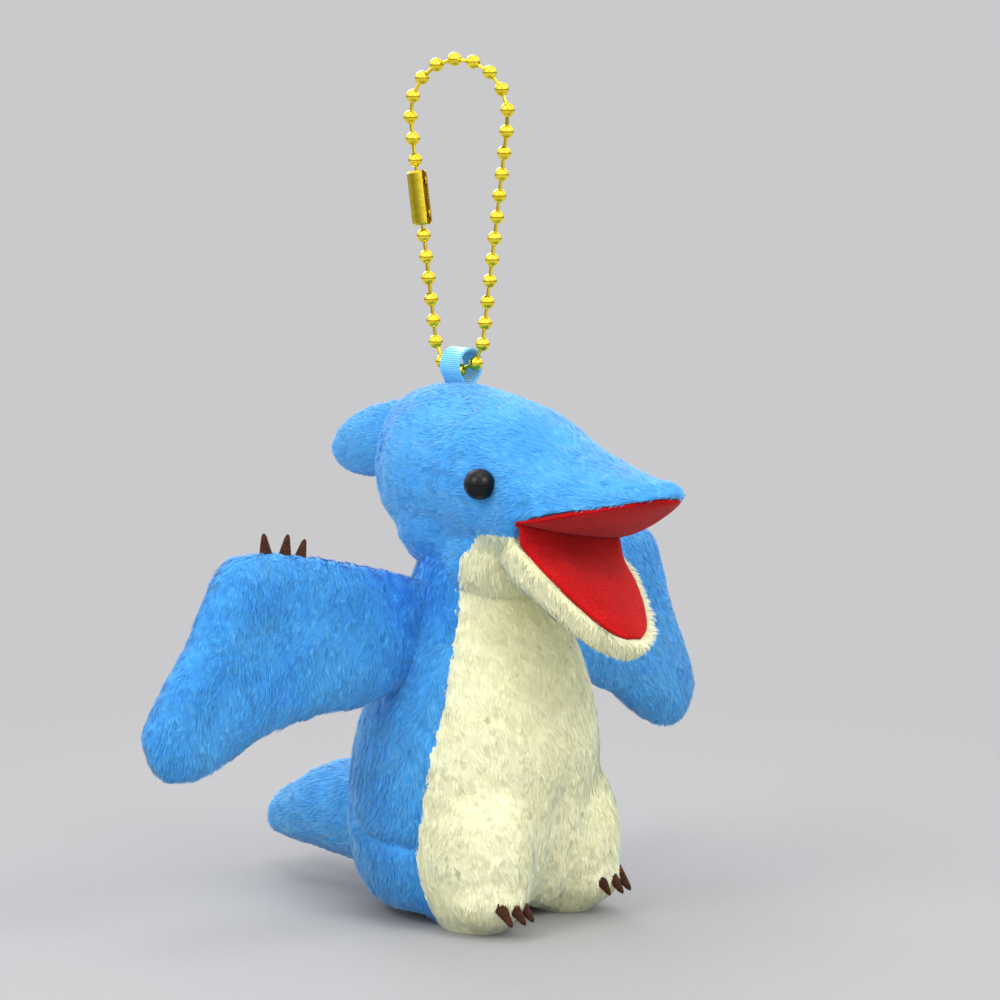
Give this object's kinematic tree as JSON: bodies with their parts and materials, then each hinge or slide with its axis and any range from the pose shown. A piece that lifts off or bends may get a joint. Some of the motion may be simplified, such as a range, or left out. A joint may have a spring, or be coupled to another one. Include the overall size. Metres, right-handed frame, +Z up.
{
  "type": "plush keychain",
  "caption": "Stuffed winged-reptile toy of sewn pile-fabric panels with an open mouth, two wings, a tail and a ball chain loop on a ribbon.",
  "frame": {"origin": "middle of the toy's flat underside, on the surface it stands on", "axes": "+Z up; the toy faces -Y; +X is the toy's left side"},
  "size_m": [0.1292, 0.0962, 0.1456],
  "materials": {
    "blue_plush": "soft short-pile plush",
    "cream_plush": "soft short-pile plush",
    "red_fleece": "brushed flat fleece",
    "stuffing": "loose polyester fibre",
    "black_plastic": "polished",
    "washer_plastic": "moulded",
    "ribbon": "satin woven ribbon",
    "gold_metal": "bright gold plating",
    "brown_felt": "matt felt"
  },
  "bodies": {
    "torso": {"belly_panel": "cream_plush", "base_gusset": "blue_plush", "back_panel_right": "blue_plush", "back_panel_left": "blue_plush", "torso_stuffing": "stuffing", "foot_panel_right": "cream_plush", "foot_panel_left": "cream_plush", "foot_stuffing_right": "stuffing", "foot_stuffing_left": "stuffing", "foot_claws_right": "brown_felt", "foot_claws_left": "brown_felt"},
    "neck": {"neck_stuffing": "stuffing"},
    "head": {"head_panel_right": "blue_plush", "head_panel_left": "blue_plush", "throat_panel": "cream_plush", "palate_lining": "red_fleece", "head_stuffing": "stuffing", "ribbon_tails": "ribbon", "eye_right": "black_plastic", "eye_left": "black_plastic", "eye_washer_right": "washer_plastic", "eye_washer_left": "washer_plastic"},
    "jaw": {"mouth_floor_lining": "red_fleece", "jaw_panel": "cream_plush", "jaw_stuffing": "stuffing"},
    "tail": {"tail_panel_right": "blue_plush", "tail_panel_left": "blue_plush", "tail_stuffing": "stuffing"},
    "ribbon": {"ribbon_loop": "ribbon"},
    "clasp": {"clasp": "gold_metal"},
    "wing_right": {"wing_front_panel_right": "blue_plush", "wing_back_panel_right": "blue_plush", "wing_stuffing_right": "stuffing", "wing_claws_right": "brown_felt"},
    "wing_left": {"wing_front_panel_left": "blue_plush", "wing_back_panel_left": "blue_plush", "wing_stuffing_left": "stuffing", "wing_claws_left": "brown_felt"},
    "chain_lower": {"chain_beads_lower": "gold_metal", "chain_links_lower": "gold_metal"},
    "chain_middle": {"chain_beads_middle": "gold_metal", "chain_links_middle": "gold_metal"},
    "chain_upper": {"chain_beads_upper": "gold_metal", "chain_links_upper": "gold_metal"}
  },
  "joints": [
    {"name": "neck_turn", "type": "hinge", "parent": "torso", "child": "neck", "pos_m": [0, -0.001, 0.058], "axis": [0, 0, 1], "range_deg": [-12, 12], "stiffness_Nm_per_rad": 0.03},
    {"name": "head_nod", "type": "hinge", "parent": "neck", "child": "head", "pos_m": [0, -0.001, 0.074], "axis": [1, 0, 0], "range_deg": [-6, 2], "stiffness_Nm_per_rad": 0.06},
    {"name": "jaw_hinge", "type": "hinge", "parent": "head", "child": "jaw", "pos_m": [-0.00089, -0.0205, 0.06555], "axis": [-0.9945, 0, 0.1045], "range_deg": [-8, 52], "stiffness_Nm_per_rad": 0.01},
    {"name": "wing_right_swing", "type": "hinge", "parent": "torso", "child": "wing_right", "pos_m": [-0.01535, 0.003, 0.0495], "axis": [0.346, 0, 0.9382], "range_deg": [-25, 35], "stiffness_Nm_per_rad": 0.02},
    {"name": "wing_left_swing", "type": "hinge", "parent": "torso", "child": "wing_left", "pos_m": [0.01535, 0.003, 0.0495], "axis": [0.2291, 0, -0.9734], "range_deg": [-25, 15], "stiffness_Nm_per_rad": 0.02},
    {"name": "tail_lift", "type": "hinge", "parent": "torso", "child": "tail", "pos_m": [0, 0.018, 0.014], "axis": [1, 0, 0], "range_deg": [-5, 6], "stiffness_Nm_per_rad": 0.02},
    {"name": "ribbon_flop", "type": "hinge", "parent": "head", "child": "ribbon", "pos_m": [0.00169, 0.0052, 0.09011], "axis": [0, 1, 0], "range_deg": [-35, 35]},
    {"name": "chain_rock", "type": "hinge", "parent": "ribbon", "child": "chain_lower", "pos_m": [0.00189, 0.0056, 0.09645], "axis": [-0.9703, -0.2419, 0], "range_deg": [-45, 45]},
    {"name": "chain_fold_low", "type": "hinge", "parent": "chain_lower", "child": "chain_middle", "pos_m": [0.00189, 0.0056, 0.1038], "axis": [0.2419, -0.9703, 0], "range_deg": [-25, 25]},
    {"name": "chain_fold_high", "type": "hinge", "parent": "chain_middle", "child": "chain_upper", "pos_m": [0.00191, 0.0055, 0.12812], "axis": [0.2408, -0.966, 0.0942], "range_deg": [-25, 25]},
    {"name": "clasp_spin", "type": "hinge", "parent": "chain_middle", "child": "clasp", "pos_m": [0.00003, 0.01304, 0.12094], "axis": [-0.0307, 0.1232, 0.9919], "continuous": true}
  ]
}
